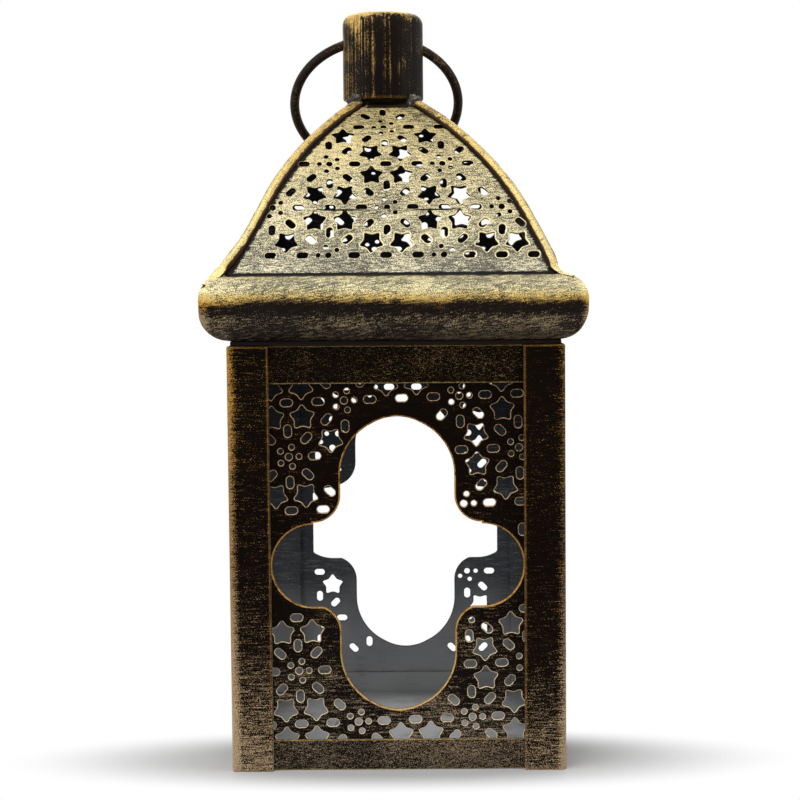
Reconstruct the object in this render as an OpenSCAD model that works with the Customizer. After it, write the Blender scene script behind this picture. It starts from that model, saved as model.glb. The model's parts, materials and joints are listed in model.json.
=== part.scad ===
// Square pierced-sheet candle lantern with a pavilion roof, a round finial cap and a carrying ring.
// The front faces -Y, the hinged door is at the back, and the origin is the centre of the underside.

/* [Body] */
// Width of the square body across its corner posts
body_w = 90; // [86:1:96]
// Height of the corner posts
post_h = 114.6; // [112:0.2:120]
// Width of each leg of a corner post
post_leg = 11.1; // [10:0.1:12]
// Thickness of the angle strip that the posts are made of
post_t = 1.6; // [1.4:0.1:2]
// Thickness of the rails between the posts
rail_t = 1; // [0.8:0.1:1.4]
// Height of the upper rails
top_rail_h = 10.2; // [8:0.1:12]
// Height of the lower rails
bottom_rail_h = 8.3; // [7:0.1:10]

/* [Floor] */
// Height of the floor pan's top above the ground
floor_z = 2; // [1.8:0.1:3]
// Thickness of the floor pan's sheet
pan_t = 0.8; // [0.6:0.1:1]
// Radius of the round seat pressed into the floor for a tealight
seat_r = 19.75; // [19:0.05:22]

/* [Pierced sheet] */
// Thickness of the pierced sheet
sheet_t = 0.8; // [0.6:0.05:1]
// Distance from a flower to the next star group, sideways
pitch_x = 15.4; // [15:0.1:16]
// Distance from a flower to the next star group, upwards
pitch_z = 14.5; // [14:0.1:15.5]
// Turn of the stamped pattern on the walls, in degrees
wall_turn = 2; // [-3:0.5:3]
// Radius of the eye in the middle of a flower
eye_r = 0.9; // [0.7:0.05:1]
// Radius of the dots round the eye
dot_r = 0.7; // [0.5:0.05:0.8]
// Radius of the circle that the dots lie on
dot_ring = 2.7; // [2.5:0.05:2.9]
// Length of a petal slot
slot_l = 3.2; // [2.8:0.05:3.4]
// Width of a petal slot
slot_w = 1.9; // [1.5:0.05:2]
// Radius of the circle that the petal slots lie on
slot_ring = 6.9; // [6.6:0.05:7.1]
// Radius of a star at its tips
star_r = 3.25; // [2.9:0.05:3.4]
// Radius of a star between its tips
star_inner_r = 2.05; // [1.8:0.05:2.2]
// Width of a star's blunt tips
star_tip_w = 0.6; // [0.4:0.05:0.8]
// Distance of each star from the middle of its group, sideways and upwards
star_off = 4.05; // [3.9:0.05:4.2]
// Least sheet left between a hole and the window's outline
window_web = 1; // [0.8:0.1:2]

/* [Window] */
// How far the window's middle lies below the middle of the opening between the rails
window_drop = 0.45; // [0:0.05:1]
// Half of the window's height
window_half_h = 39.6; // [38:0.1:40]
// Sheet left between the window's side lobes and the posts
window_side = 0.1; // [0.1:0.1:1]
// Half of the window's width at its necks
neck_half_w = 15.3; // [14.8:0.1:15.8]
// Radius of the tips of the upper and lower lobes
lobe_tip_r = 13; // [12.5:0.1:13.5]
// Height of the wide part of the upper lobe above the window's middle
lobe_rise = 24; // [23.5:0.1:24.2]

/* [Door] */
// Gap between the door and the posts
door_gap = 0.4; // [0.3:0.05:0.6]
// How far the door laps over the rails above and below its opening
door_lap = 3; // [2:0.1:4]
// Width of the strip that frames the door
door_strip_w = 4.7; // [4.2:0.1:5]
// Radius of the hinge pins
hinge_pin_r = 0.8; // [0.7:0.05:1]
// Length of each hinge knuckle
knuckle_l = 4; // [3:0.1:5]
// Wall of the hinge knuckles
knuckle_wall = 0.8; // [0.6:0.05:0.9]
// Width of each hinge leaf, from its pin
hinge_leaf_w = 8.2; // [7:0.1:9]
// Distance of each hinge's middle from the door's nearer end
hinge_end = 19; // [15:0.5:24]
// Radius of the door knob
knob_r = 2.1; // [1.8:0.05:2.2]
// How far the door knob's middle lies below the door's
knob_drop = 6.35; // [4:0.05:10]
// Width of the door sheet's unpierced border above its lower strip
door_border = 5.4; // [5:0.1:6]
// Radius of the corners of the door's window
door_corner_r = 1.2; // [0.8:0.1:1.6]
// How far the folded edges of the side sheets reach in behind the door
door_stop = 0.9; // [0.6:0.1:1.5]

/* [Latch] */
// Height of the turn button's rivet above the door's middle
latch_rise = 15.65; // [14:0.05:19]
// Length of the turn button from its rivet to the middle of its tip
latch_l = 10; // [9:0.1:11]
// Radius of the turn button round its rivet
latch_r = 2.4; // [2.2:0.05:2.6]
// Radius of the turn button's tip
latch_tip_r = 1.6; // [1.4:0.05:1.8]
// Thickness of the turn button
latch_t = 1; // [0.8:0.05:1.2]
// Radius of the turn button's rivet
rivet_r = 1; // [0.9:0.05:1.2]

/* [Cornice] */
// Thickness of the crown frame between the body and the cornice
crown_t = 1.3; // [1:0.1:1.6]
// How far the crown frame stands back from the body's faces
crown_inset = 1; // [0.6:0.1:1.5]
// Width of the crown frame's strip
crown_w = 7; // [6:0.1:8]
// How far the cornice stands out past the body's faces
cornice_out = 6; // [5.5:0.1:7]
// Height of the cornice
cornice_h = 17.45; // [16.8:0.05:18.5]
// Radius of the cornice's upper round
cornice_upper_r = 6; // [5.5:0.1:6.5]
// Radius of the cornice's lower round
cornice_lower_r = 7; // [6.5:0.1:7.5]
// Thickness of the cornice's sheet
cornice_t = 0.9; // [0.7:0.05:1.2]
// How far the cornice's flanges reach in past the body's faces
cornice_flange = 5; // [4:0.1:7]

/* [Roof] */
// How far the roof's foot stands in from the body's faces
roof_inset = 0.85; // [0.6:0.05:1.4]
// Sideways set of the roof on the cornice, which is soldered on by hand
roof_shift = -1.3; // [-1.6:0.1:0]
// Slope of the roof's lower part, in degrees
roof_slope = 62.5; // [61.5:0.1:63]
// Length of the roof's straight lower part
roof_straight = 18; // [17:0.1:19]
// Radius of the roof's curved upper part
roof_r = 88; // [86:0.1:92]
// Half of the roof's width at its top edge
roof_top_half = 8; // [7.8:0.1:9]
// Width of the plain border at the foot of each roof panel
roof_border = 5; // [4:0.1:6]
// Radius of the beads along the hips
bead_r = 1.6; // [1.4:0.05:1.8]

/* [Cap and ring] */
// Sideways set of the cap from the lantern's axis
cap_shift = -4.1; // [-4.4:0.1:0]
// Radius of the cap
cap_r = 11.4; // [11:0.1:11.6]
// Height of the cap
cap_h = 24.35; // [23:0.05:26]
// Wall of the cap
cap_t = 0.8; // [0.6:0.05:1]
// Radius of the cap's upper shoulder
cap_shoulder_r = 3; // [2:0.1:4]
// Thickness of the square plate that closes the roof
saddle_t = 0.8; // [0.6:0.05:1]
// Width of the flaps that hold the plate to the roof
flap_w = 11.4; // [9:0.1:11.4]
// Length of the flaps down the roof
flap_l = 1.9; // [1.4:0.1:2.1]
// Half of the width of the neck under the cap
neck_half = 7.2; // [6.8:0.1:7.3]
// Height of the neck under the cap
neck_h = 0.75; // [0.6:0.05:1.5]
// Height of the ring's holes above the cap's lower edge
ring_hole_up = 15.2; // [14:0.1:17]
// Turn of the ring's holes about the cap, in degrees
ring_turn = 6.5; // [0:0.5:8]
// Tip of the line through the ring's holes, the right one lower, in degrees
ring_tip = 3; // [0:0.5:4]
// Radius of the ring to the middle of its wire
ring_r = 23.95; // [23.5:0.05:26]
// Radius of the ring's wire
wire_r = 1.35; // [1.2:0.05:1.4]
// Gap between the ring at rest and the roof's beads
ring_rest_gap = 0.4; // [0.2:0.05:0.5]

/* [Hidden] */
$fn = 64;
// Sides drawn on a thin wire's section, the hip beads' sweep, the roof's arcs and small holes
wire_sides = 40;
sweep_sides = 720;
roof_sides = 240;
hole_sides = 24;

// How far every cut runs past what it cuts
overrun = 1;
// Colours of the brushed paint, of bare edges and of the sheet seen in the shade
paint_dark = "#2b2119";
paint_gold = "#b08d4c";
paint_mid = "#5d4a2e";
wire_brown = "#3a2b1e";

// Faces of the body, from the outside in
face = body_w / 2;
rail_face = face - post_t;
sheet_face = rail_face - rail_t;
inside = sheet_face - sheet_t;
post_edge = face - post_leg;
round_share = 0.8;
post_round = post_t * round_share;

// Window
window_z = (bottom_rail_h + post_h - top_rail_h) / 2 - window_drop;
window_half_w = post_edge - window_side;
// Share of half of the window's width that is the radius of a side lobe
lobe_share = 0.33;
lobe_r = window_half_w * lobe_share;
lobe_x = window_half_w - lobe_r;
lobe_z = -0.5;
corner_round = lobe_x - neck_half_w;
corner_z = lobe_r + corner_round;
tip_rise = window_half_h - lobe_tip_r;
// Share of a round's radius at which a straight side that runs into it ends
joined_share = 0.9995;

// Stamped pattern
dot_count = 5;
slot_count = 8;
star_points = 5;
repeats = 5;
// Share of a hole's reach that may run on behind a post, a rail or a bead
hidden_share = 0.6;
// Places of one flower on each sheet, sideways and upwards
front_flower = [-14, 99.9];
right_flower = [3.5, 92];
left_flower = [-6, 97];
door_flower = [-26.9, 25.4];
// Places of one flower on each roof panel, sideways and up along the slope
roof_flowers = [[-1.6, 20.4], [5.2, 17], [-7.5, 23], [2.8, 21.5]];

// Door, hinge and latch
door_half_w = post_edge - door_gap;
door_low = bottom_rail_h - door_lap;
door_high = post_h - top_rail_h + door_lap;
door_strip_t = post_t - sheet_t;
door_open_half = door_half_w - door_strip_w;
door_mid = (door_low + door_high) / 2;
hinge_low_z = door_low + hinge_end;
hinge_high_z = door_high - hinge_end;
knob_z = door_mid - knob_drop;
latch_z = door_mid + latch_rise;
pin_play = 0.05;
knuckle_play = 0.2;
knuckle_r = hinge_pin_r + pin_play + knuckle_wall;
hinge_rise = 0.3;
hinge_x = post_edge - door_gap / 2;
hinge_y = face + hinge_rise + knuckle_r;
hinge_leaf_t = 0.8;
hinge_h = 3 * knuckle_l + 2 * knuckle_play;
pin_head_r = 1.3;
pin_head_h = 0.6;
knob_x = -(door_open_half + door_half_w) / 2;
knob_neck_r = 0.9;
knob_stand = 2.6;
knob_flange_r = 1.9;
knob_flange_t = 0.6;
tail_head_r = 1.5;
tail_head_t = 0.5;
latch_x = -(face + post_edge) / 2;
washer_t = 0.4;
washer_r = 2.2;
rivet_play = 0.08;
rivet_head_r = 2;
rivet_head_h = 0.9;
rivet_dome_r = 2.7;
rivet_head_gap = 0.1;
rivet_tail_r = 1.8;
rivet_tail_t = 0.6;

// Heights of the crown, the cornice and the roof
cornice_z = post_h + crown_t;
roof_z = cornice_z + cornice_h;
cornice_face = face + cornice_out;
cornice_open_half = face - cornice_flange;
roof_foot_half = face - roof_inset;
bend_half = roof_foot_half - roof_straight * cos(roof_slope);
bend_z = roof_z + roof_straight * sin(roof_slope);
arc_h = bend_half - roof_r * sin(roof_slope);
arc_z = bend_z - roof_r * cos(roof_slope);
top_slope = asin((roof_top_half - arc_h) / roof_r);
roof_top_z = arc_z + roof_r * cos(top_slope);

// Centre line of a hip bead in its diagonal plane: straight below, and above the bend close to an arc
bead_slope = atan(tan(roof_slope) / sqrt(2));
bead_chord = [(roof_top_half - bend_half) * sqrt(2), roof_top_z - bend_z];
bead_turn = 2 * (bead_slope - atan(-bead_chord[1] / bead_chord[0]));
bead_arc_r = norm(bead_chord) / (2 * sin(bead_turn / 2));

// Cap and ring
plate_z = roof_top_z + saddle_t;
cap_z = plate_z + neck_h;
spigot_h = 2.4;
spigot_play = 0.05;
cap_foot_round = 0.6;
flap_t = 0.6;
ring_axis_z = cap_z + ring_hole_up;
ring_chord = cap_r - cap_t / 2;
ring_drop = sqrt(ring_r * ring_r - ring_chord * ring_chord);
ring_hole_play = 0.1;
ring_tilt = asin(ring_chord / ring_r);
ring_hole_r = wire_r / cos(ring_tilt) + cap_t * tan(ring_tilt) + ring_hole_play;

// Place on the roof's outer face at a length up the slope: [distance from the axis, height, slope]
function roof_place(s) = s < roof_straight
    ? [roof_foot_half - s * cos(roof_slope), roof_z + s * sin(roof_slope), roof_slope]
    : let (a = roof_slope - (s - roof_straight) / roof_r * 180 / PI)
        [arc_h + roof_r * sin(a), arc_z + roof_r * cos(a), a];
roof_length = roof_straight + (roof_slope - top_slope) * PI / 180 * roof_r;

// The ring leans back until it lies a small gap off the beads on the hips
hip_steps = 100;
ring_steps = 144;
lean_start = 40;
lean_step = 0.25;
hip_points = [for (k = [0:hip_steps]) let (
        a = bead_slope - bead_turn * k / hip_steps,
        h = bend_half + bead_arc_r * (sin(a) - sin(bead_slope)) / sqrt(2))
    [h, h, bend_z + bead_arc_r * (cos(a) - cos(bead_slope))]];
function ring_point(lean, t) = let (
        a = ring_r * sin(t),
        b = ring_drop - ring_r * cos(t),
        x = a * cos(ring_tip) - b * cos(lean) * sin(ring_tip),
        y = b * sin(lean))
    [cap_shift + x * cos(ring_turn) - y * sin(ring_turn),
     x * sin(ring_turn) + y * cos(ring_turn),
     ring_axis_z - a * sin(ring_tip) - b * cos(lean) * cos(ring_tip)];
function hip_gap(p) = min([for (q = hip_points)
    norm([abs(p[0] - roof_shift) - q[0], abs(p[1]) - q[1], p[2] - q[2]])]);
function ring_gap(lean) = min([for (k = [ring_steps / 6:ring_steps * 5 / 6])
    hip_gap(ring_point(lean, k * 360 / ring_steps))]) - wire_r - bead_r;
function settled(lean) = ring_gap(lean) >= ring_rest_gap ? lean : settled(lean + lean_step);
ring_lean = settled(lean_start);

// Distance from a point of a wall to the window's outline, positive in the sheet
function window_gap(x, z) = let (
        u = abs(x),
        v = abs(z - window_z),
        w = abs(z - window_z - lobe_z))
    u < lobe_x && v < corner_z ? corner_round - norm([lobe_x - u, corner_z - v])
    : u >= lobe_x && v < corner_z ? norm([u - lobe_x, w]) - lobe_r
    : v < lobe_rise ? u - neck_half_w
    : min(norm([u, v - lobe_rise]) - neck_half_w, norm([u, v - tip_rise]) - lobe_tip_r);

// One hole of the pattern is [kind, sideways, upwards, turn, reach]
function flower(x, z, first) = concat(
    [["round", x, z, 0, eye_r]],
    [for (k = [0:dot_count - 1]) let (a = first + k * 360 / dot_count)
        ["dot", x + dot_ring * cos(a), z + dot_ring * sin(a), 0, dot_r]],
    [for (k = [0:slot_count - 1]) let (a = k * 360 / slot_count)
        ["slot", x + slot_ring * cos(a), z + slot_ring * sin(a), a, slot_l / 2]]);
function star_group(x, z) = concat(
    [["slot", x, z, 0, slot_l / 2]],
    [for (sx = [-1, 1], sz = [-1, 1])
        ["star", x + sx * star_off, z + sz * star_off, -90 * sz, star_r]]);
function repeat(i, j, first) = (i + j) % 2 == 0 ? flower(i * pitch_x, j * pitch_z, first)
    : star_group(i * pitch_x, j * pitch_z);
function pattern(place, turn, first) = [for (i = [-repeats:repeats], j = [-2 * repeats:2 * repeats])
    for (q = repeat(i, j, first))
        [q[0], place[0] + q[1] * cos(turn) - q[2] * sin(turn),
         place[1] + q[1] * sin(turn) + q[2] * cos(turn), q[3] + turn, q[4]]];

// Holes of a wall that show between its posts and rails and keep clear of the window
function wall_holes(place, turn, half_w, low, high, share) = [for (q = pattern(place, turn, 0))
    if (abs(q[1]) < half_w + share * q[4]
        && q[2] > low - share * q[4] && q[2] < high + share * q[4]
        && window_gap(q[1], q[2]) > q[4] + window_web) q];

// Holes of a roof panel, above its plain border and clear of the mitred hips
function roof_holes(place) = [for (q = pattern(place, 0, 180))
    if (q[2] > roof_border && q[2] < roof_length - q[4] - flap_l
        && abs(q[1]) < roof_place(q[2])[0] - q[4] - sheet_t) q];

module hole(q) {
    if (q[0] == "round" || q[0] == "dot") circle(r = q[4], $fn = hole_sides);
    if (q[0] == "slot") {
        flat = slot_l - slot_w;
        rotate(q[3]) {
            square([flat, slot_w], center = true);
            for (s = [-1, 1]) translate([s * flat / 2, 0]) circle(d = slot_w, $fn = hole_sides);
        }
    }
    if (q[0] == "star") rotate(q[3]) star();
}

// A star with blunt tips
module star() {
    step = 180 / star_points;
    corner = star_inner_r * [cos(step), sin(step)];
    arm = [[star_r, -star_tip_w / 2], [star_r, star_tip_w / 2], corner];
    polygon([for (k = [0:star_points - 1], p = arm) let (t = 2 * step * k)
        [p[0] * cos(t) - p[1] * sin(t), p[0] * sin(t) + p[1] * cos(t)]]);
}

// Two circles one above the other and the straight sides that join them, whose ends lie just inside them
module tapered_lobe(r1, r2, rise) {
    a = asin((r1 - r2) / rise);
    low = r1 * joined_share * [cos(a), sin(a)];
    high = r2 * joined_share * [cos(a), sin(a)];
    circle(r = r1);
    translate([0, rise]) circle(r = r2);
    polygon([low, [high[0], rise + high[1]], [-high[0], rise + high[1]], [-low[0], low[1]]]);
}

// Outline of the window, about its middle
module window_outline() {
    for (m = [0, 1]) mirror([0, m]) {
        translate([0, lobe_rise]) tapered_lobe(neck_half_w, lobe_tip_r, tip_rise - lobe_rise);
        translate([-neck_half_w, 0]) square([2 * neck_half_w, lobe_rise]);
    }
    translate([-lobe_x, -lobe_r + lobe_z]) square([2 * lobe_x, 2 * lobe_r]);
    for (s = [-1, 1]) translate([s * lobe_x, lobe_z]) circle(r = lobe_r);
    for (m = [0, 1], n = [0, 1]) mirror([m, 0]) mirror([0, n]) difference() {
        translate([neck_half_w - corner_round, 0]) square([2 * corner_round, corner_z]);
        translate([lobe_x, corner_z]) circle(r = corner_round);
    }
}

// Stands a flat shape up as a sheet whose outer face looks along -Y
module upright(t) {
    rotate([90, 0, 0]) linear_extrude(t) children();
}

// Moves a shape back to the plane of its rear face
module on_back(y) {
    translate([0, y, 0]) children();
}

// Turns a shape drawn on the front to one of the four sides: 0 front, 1 right, 2 back, 3 left
module on_side(k) {
    rotate([0, 0, 90 * k]) children();
}

module angle_post(k) {
    color(paint_dark) on_side(k) translate([-face, -face, 0]) linear_extrude(post_h) difference() {
        square(post_leg);
        translate([post_t, post_t]) square(post_leg);
        difference() {
            square(post_round);
            translate([post_round, post_round]) circle(r = post_round);
        }
    }
}

// The post that carries the turn button has a hole for its rivet
module latch_post(k) {
    difference() {
        angle_post(k);
        standing_out(latch_x, face - post_t - overrun, latch_z)
            cylinder(r = rivet_r, h = post_t + 2 * overrun);
    }
}

module rail(k, low, h) {
    reach = k % 2 == 0 ? rail_face : sheet_face;
    color(paint_dark) on_side(k) translate([-reach, -rail_face, low]) cube([2 * reach, rail_t, h]);
}

module wall_panel(k, flower_place) {
    reach = k % 2 == 0 ? sheet_face : inside;
    color(paint_mid) on_side(k) translate([0, -inside, 0]) upright(sheet_t) difference() {
        translate([-reach, 0]) square([2 * reach, post_h]);
        translate([0, window_z]) window_outline();
        for (q = wall_holes(flower_place, wall_turn, post_edge, bottom_rail_h, post_h - top_rail_h,
                hidden_share))
            translate([q[1], q[2]]) hole(q);
    }
}

// A side panel's rear edge is folded in behind the door, where it closes the gap beside the post
module side_panel(k, flower_place) {
    wall_panel(k, flower_place);
    color(paint_mid) on_side(k) mirror([k == 1 ? 0 : 1, 0, 0]) translate([inside, -sheet_face, floor_z])
        cube([sheet_t, sheet_face - door_half_w + door_stop, post_h - floor_z]);
}

module floor_pan() {
    back = rail_face - rail_t;
    color(paint_dark) {
        difference() {
            translate([-inside, -inside, 0]) cube([2 * inside, inside + back, floor_z]);
            translate([-inside + pan_t, -inside + pan_t, -overrun])
                cube([2 * (inside - pan_t), inside + back - 2 * pan_t, floor_z - pan_t + overrun]);
            cylinder(r = seat_r, h = floor_z + overrun);
        }
        difference() {
            cylinder(r = seat_r + pan_t, h = floor_z);
            translate([0, 0, pan_t]) cylinder(r = seat_r, h = floor_z);
        }
    }
}

// Outline of the door's window, about its middle: its side lobes are cut off straight, with round corners
module door_window() {
    x = door_open_half - door_corner_r;
    z = sqrt((lobe_r - door_corner_r) * (lobe_r - door_corner_r) - (x - lobe_x) * (x - lobe_x));
    grow = lobe_r / (lobe_r - door_corner_r);
    difference() {
        intersection() {
            window_outline();
            square([2 * door_open_half, 2 * (window_half_h + overrun)], center = true);
        }
        for (m = [0, 1], n = [0, 1]) mirror([m, 0]) translate([lobe_x, lobe_z]) mirror([0, n])
            polygon([[x - lobe_x, z], [door_corner_r + x - lobe_x + overrun, z],
                [grow * (x - lobe_x) + overrun, grow * z + overrun], [grow * (x - lobe_x), grow * z]]);
    }
    for (m = [0, 1], n = [0, 1]) mirror([m, 0]) translate([lobe_x, lobe_z]) mirror([0, n])
        translate([x - lobe_x, z]) circle(r = door_corner_r);
}

module door_panel() {
    color(paint_mid) on_back(rail_face + sheet_t) upright(sheet_t) difference() {
        translate([-door_half_w, door_low]) square([2 * door_half_w, door_high - door_low]);
        translate([0, window_z]) door_window();
        for (q = wall_holes(door_flower, 0, door_open_half,
                door_low + door_strip_w + door_border, door_high - door_strip_w, 0))
            translate([q[1], q[2]]) hole(q);
        translate([knob_x, knob_z]) circle(r = knob_neck_r);
    }
}

module door_frame() {
    color(paint_dark) on_back(face) upright(door_strip_t) difference() {
        translate([-door_half_w, door_low]) square([2 * door_half_w, door_high - door_low]);
        translate([-door_open_half, door_low + door_strip_w])
            square([2 * door_open_half, door_high - door_low - 2 * door_strip_w]);
        translate([knob_x, knob_z]) circle(r = knob_neck_r);
    }
}

// A turned piece that stands out from the back face, drawn with its axis up
module standing_out(x, y, z) {
    translate([x, y, z]) rotate([-90, 0, 0]) children();
}

module door_knob() {
    color(paint_gold) standing_out(knob_x, face, knob_z) {
        cylinder(r = knob_flange_r, h = knob_flange_t);
        translate([0, 0, -post_t]) cylinder(r = knob_neck_r, h = post_t + knob_stand);
        translate([0, 0, -post_t - tail_head_t]) cylinder(r = tail_head_r, h = tail_head_t);
        translate([0, 0, knob_stand + knob_r / 2]) sphere(r = knob_r);
    }
}

module knuckle(z) {
    translate([hinge_x, hinge_y, z]) difference() {
        cylinder(r = knuckle_r, h = knuckle_l);
        translate([0, 0, -overrun]) cylinder(r = hinge_pin_r + pin_play, h = knuckle_l + 2 * overrun);
    }
}

// The bore that the hinge's pin turns in
module pin_bore(low) {
    translate([hinge_x, hinge_y, low - overrun])
        cylinder(r = hinge_pin_r + pin_play, h = hinge_h + 2 * overrun);
}

// A leaf lies on the face of the post or the door and runs to the middle of the pin
module hinge_leaf(side, z, h, back_off) {
    low = side > 0 ? back_off : -hinge_leaf_w;
    translate([hinge_x + low, face, z]) cube([hinge_leaf_w - back_off, hinge_leaf_t, h]);
}

module hinge_post_leaf(mid) {
    low = mid - hinge_h / 2;
    step = knuckle_l + knuckle_play;
    color(paint_gold) difference() {
        union() {
            for (k = [0, 2]) {
                knuckle(low + k * step);
                hinge_leaf(1, low + k * step, knuckle_l, 0);
            }
            hinge_leaf(1, low, hinge_h, knuckle_r + hinge_rise);
        }
        pin_bore(low);
    }
}

module hinge_door_leaf(mid) {
    low = mid - hinge_h / 2;
    step = knuckle_l + knuckle_play;
    color(paint_gold) difference() {
        union() {
            knuckle(low + step);
            hinge_leaf(-1, low + step, knuckle_l, 0);
            hinge_leaf(-1, low, hinge_h, knuckle_r + hinge_rise);
        }
        pin_bore(low);
    }
}

module hinge_pin(mid) {
    color(paint_gold) translate([hinge_x, hinge_y, mid - hinge_h / 2]) {
        cylinder(r = hinge_pin_r, h = hinge_h);
        translate([0, 0, hinge_h]) cylinder(r = pin_head_r, h = pin_head_h);
    }
}

module latch_washer() {
    color(paint_dark) standing_out(latch_x, face, latch_z) difference() {
        cylinder(r = washer_r, h = washer_t);
        translate([0, 0, -overrun]) cylinder(r = rivet_r, h = washer_t + 2 * overrun);
    }
}

// The button hangs down, clear of the door, and is turned through a right angle to hold it
module latch_button() {
    color(paint_gold) on_back(face + washer_t + latch_t) upright(latch_t)
        translate([latch_x, latch_z]) difference() {
            mirror([0, 1]) tapered_lobe(latch_r, latch_tip_r, latch_l);
            circle(r = rivet_r + rivet_play);
        }
}

module latch_rivet() {
    grip = washer_t + latch_t + rivet_head_gap;
    color(paint_gold) standing_out(latch_x, face, latch_z) {
        translate([0, 0, -post_t]) cylinder(r = rivet_r, h = post_t + grip);
        translate([0, 0, -post_t - rivet_tail_t]) cylinder(r = rivet_tail_r, h = rivet_tail_t);
        translate([0, 0, grip]) rotate_extrude() intersection() {
            square([rivet_head_r, rivet_head_h]);
            translate([0, rivet_head_h - rivet_dome_r]) circle(r = rivet_dome_r);
        }
    }
}

module crown_frame() {
    half = face - crown_inset;
    color(paint_dark) translate([0, 0, post_h]) linear_extrude(crown_t) difference() {
        square(2 * half, center = true);
        square(2 * (half - crown_w), center = true);
    }
}

// Rounded section of the cornice: x is the distance from the lantern's axis, y the height
module cornice_section(inset) {
    low = [cornice_face - cornice_lower_r, cornice_z + cornice_lower_r];
    high = [cornice_face - cornice_upper_r, roof_z - cornice_upper_r];
    start = cornice_open_half - (inset > 0 ? overrun : 0);
    intersection() {
        union() {
            translate(low) circle(r = cornice_lower_r - inset);
            translate(high) circle(r = cornice_upper_r - inset);
            polygon([[start, cornice_z + inset], [low[0], cornice_z + inset], low,
                [cornice_face - inset, low[1]], [cornice_face - inset, high[1]], high,
                [high[0], roof_z - inset], [start, roof_z - inset]]);
        }
        translate([start, cornice_z]) square([cornice_face - start, cornice_h]);
    }
}

// Draws a section that runs along one side and is mitred at both corners
module mitred_side(k, reach, low, high) {
    on_side(k) intersection() {
        translate([reach, 0, 0]) rotate([90, 0, -90]) linear_extrude(2 * reach) children();
        translate([0, 0, low]) linear_extrude(high - low)
            polygon([[0, 0], [reach, -reach], [-reach, -reach]]);
    }
}

module cornice(k) {
    reach = cornice_face + overrun;
    color(paint_gold) mitred_side(k, reach, cornice_z - overrun, roof_z + overrun) difference() {
        cornice_section(0);
        cornice_section(cornice_t);
    }
}

// Half of the roof's section under a face set in from the outside, drawn from the bend of the sheet:
// x is the distance from the lantern's axis, y the height
module roof_section(inset) {
    intersection() {
        translate([bend_half, bend_z]) rotate(-roof_slope) {
            translate([0, -roof_r]) square([roof_straight + 2 * overrun, roof_r - inset]);
            intersection() {
                translate([0, -roof_r]) circle(r = roof_r - inset, $fn = roof_sides);
                translate([-2 * roof_r, -2 * roof_r]) square(2 * roof_r);
            }
        }
        translate([0, roof_z - overrun]) square(body_w);
    }
}

module roof_panel(k) {
    color(paint_gold) translate([roof_shift, 0, 0]) difference() {
        mitred_side(k, roof_foot_half + overrun, roof_z, roof_top_z) difference() {
            roof_section(0);
            roof_section(sheet_t);
        }
        on_side(k) for (q = roof_holes(roof_flowers[k])) let (p = roof_place(q[2]))
            translate([q[1], -p[0], p[1]]) rotate([p[2], 0, 0]) translate([0, 0, -2 * sheet_t])
                linear_extrude(3 * sheet_t) hole(q);
    }
}

// Space under the outer faces of all four roof panels
module under_roof() {
    intersection_for (k = [0, 1]) on_side(k) translate([body_w, 0, 0]) rotate([90, 0, -90])
        linear_extrude(2 * body_w) for (n = [0, 1]) mirror([n, 0]) roof_section(0);
}

// A bead follows a hip in the diagonal plane: straight below and close to an arc above
module hip_bead(k) {
    straight = roof_straight * sin(roof_slope) / sin(bead_slope);
    spare = overrun / bead_arc_r * 180 / PI;
    color(paint_gold) translate([roof_shift, 0, 0]) intersection() {
        difference() {
            rotate([0, 0, 90 * k - 135]) translate([bend_half * sqrt(2), 0, bend_z]) rotate([0, bead_slope, 0]) {
                rotate([0, 90, 0]) cylinder(r = bead_r, h = straight + 2 * bead_r, $fn = wire_sides);
                translate([0, 0, -bead_arc_r]) rotate([90, 0, 0])
                    rotate_extrude(start = 90, angle = bead_turn + 2 * spare, $fn = sweep_sides)
                        translate([bead_arc_r, 0]) rotate(180) circle(r = bead_r, $fn = wire_sides);
            }
            under_roof();
        }
        translate([-body_w, -body_w, roof_z]) cube([2 * body_w, 2 * body_w, roof_top_z - roof_z]);
    }
}

// A flap lies on the roof's face, tangent at its top edge, and ends in the plate above
module saddle_flap(k) {
    on_side(k) intersection() {
        translate([0, -roof_top_half, roof_top_z]) rotate([top_slope, 0, 0])
            translate([-flap_w / 2, -flap_l, 0]) cube([flap_w, flap_l + 2 * saddle_t, flap_t]);
        translate([-flap_w / 2 - overrun, -2 * roof_top_half, roof_top_z - flap_l])
            cube([flap_w + 2 * overrun, 2 * roof_top_half, flap_l + saddle_t]);
    }
}

module cap_saddle() {
    color(paint_dark) {
        translate([roof_shift, 0, 0]) {
            translate([-roof_top_half, -roof_top_half, roof_top_z])
                cube([2 * roof_top_half, 2 * roof_top_half, saddle_t]);
            for (k = [0:3]) saddle_flap(k);
            translate([-neck_half, -neck_half, plate_z]) cube([2 * neck_half, 2 * neck_half, neck_h]);
        }
        translate([cap_shift, 0, cap_z]) cylinder(r = cap_r - cap_t - spigot_play, h = spigot_h);
    }
}

// Outline of half of a drawn cup with a round shoulder and a rounded rim
module cup_section(r, h, shoulder, rim) {
    translate([0, rim]) square([r, h - shoulder - rim]);
    square([r - rim, h - shoulder]);
    square([r - shoulder, h]);
    translate([r - shoulder, h - shoulder]) circle(r = shoulder);
    translate([r - rim, rim]) circle(r = rim);
}

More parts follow.
